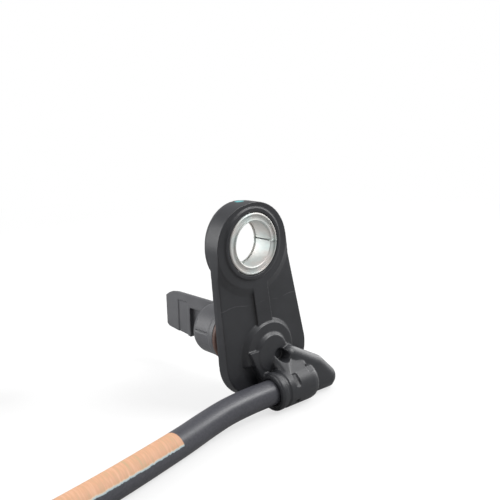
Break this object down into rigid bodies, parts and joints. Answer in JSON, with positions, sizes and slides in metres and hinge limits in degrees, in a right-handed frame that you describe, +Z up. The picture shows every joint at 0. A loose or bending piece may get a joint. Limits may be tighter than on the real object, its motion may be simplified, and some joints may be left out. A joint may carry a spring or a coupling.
{
  "type": "abs wheel speed sensor",
  "caption": "Wheel speed sensor: stepped nose with a flat sensing block, oval flange with a steel fixing bush, elbow, jacketed lead and two-pole plug.",
  "frame": {"origin": "on the flange's seat face, on the line from the fixing bush to the nose, halfway across the boss's seat ring", "axes": "+Y along the nose and out of the seat face, -X along the cable as it leaves the ferrule, +Z up towards the fixing bush"},
  "size_m": [0.146, 0.0661, 0.0385],
  "materials": {
    "flange_plastic": "satin, moulded",
    "nose_plastic": "satin, moulded",
    "zinc_steel": "zinc plated",
    "brown_rubber": "satin",
    "inner_plastic": "matt",
    "epoxy": "matt",
    "ceramic": "matt",
    "tinned_copper": "tinned",
    "copper_wire": "bright strands",
    "core_black": "smooth",
    "core_brown": "smooth",
    "cable_sheath": "satin, extruded",
    "plug_plastic": "satin, moulded",
    "lock_plastic": "satin",
    "seal_rubber": "matt",
    "boot_rubber": "matt",
    "tie_plastic": "satin"
  },
  "bodies": {
    "root": {"flange_body": "flange_plastic", "fixing_bush": "zinc_steel", "nose_housing": "nose_plastic", "nose_seal_ring": "brown_rubber", "chip_carrier": "inner_plastic", "sensing_chip": "epoxy", "supply_capacitor": "ceramic", "chip_lead_a": "tinned_copper", "chip_lead_b": "tinned_copper", "terminal_a": "tinned_copper", "terminal_b": "tinned_copper", "core_a": "core_black", "core_b": "core_brown", "core_conductor_a": "copper_wire", "core_conductor_b": "copper_wire", "cable_lead": "cable_sheath", "cable_coil": "cable_sheath", "cable_tail": "cable_sheath", "coil_tie": "tie_plastic", "plug_boot": "boot_rubber", "plug_housing": "plug_plastic", "plug_seal": "seal_rubber", "plug_lock": "lock_plastic", "plug_pin_a": "tinned_copper", "plug_pin_b": "tinned_copper"}
  },
  "joints": []
}
